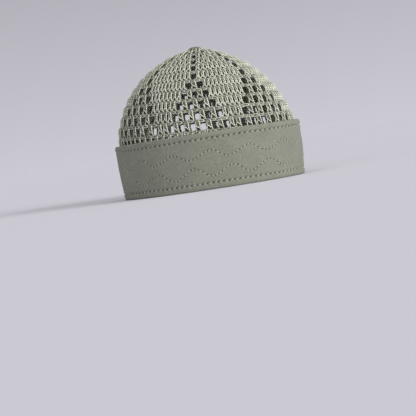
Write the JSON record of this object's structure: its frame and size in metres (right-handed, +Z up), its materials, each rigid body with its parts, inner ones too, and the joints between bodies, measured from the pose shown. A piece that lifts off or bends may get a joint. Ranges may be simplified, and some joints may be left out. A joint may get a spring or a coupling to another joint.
{
  "type": "kufi with openwork crocheted crown",
  "caption": "Brimless oval hat: a crocheted openwork dome with a small knob on top, sewn into a tall quilted cloth band that stands on its flat rim.",
  "frame": {"origin": "middle of the rim, on the surface that the hat stands on", "axes": "+X towards the hat's front, along its longer direction; +Y towards the wearer's left; +Z up, out of the crown's top"},
  "size_m": [0.201, 0.16, 0.1514],
  "materials": {
    "band_cloth": "matt, finely woven, quilted",
    "crown_yarn": "matt, plied cotton yarn",
    "stitching_thread": "matt sewing thread"
  },
  "bodies": {
    "root": {"band": "band_cloth", "crown": "crown_yarn"}
  },
  "joints": []
}
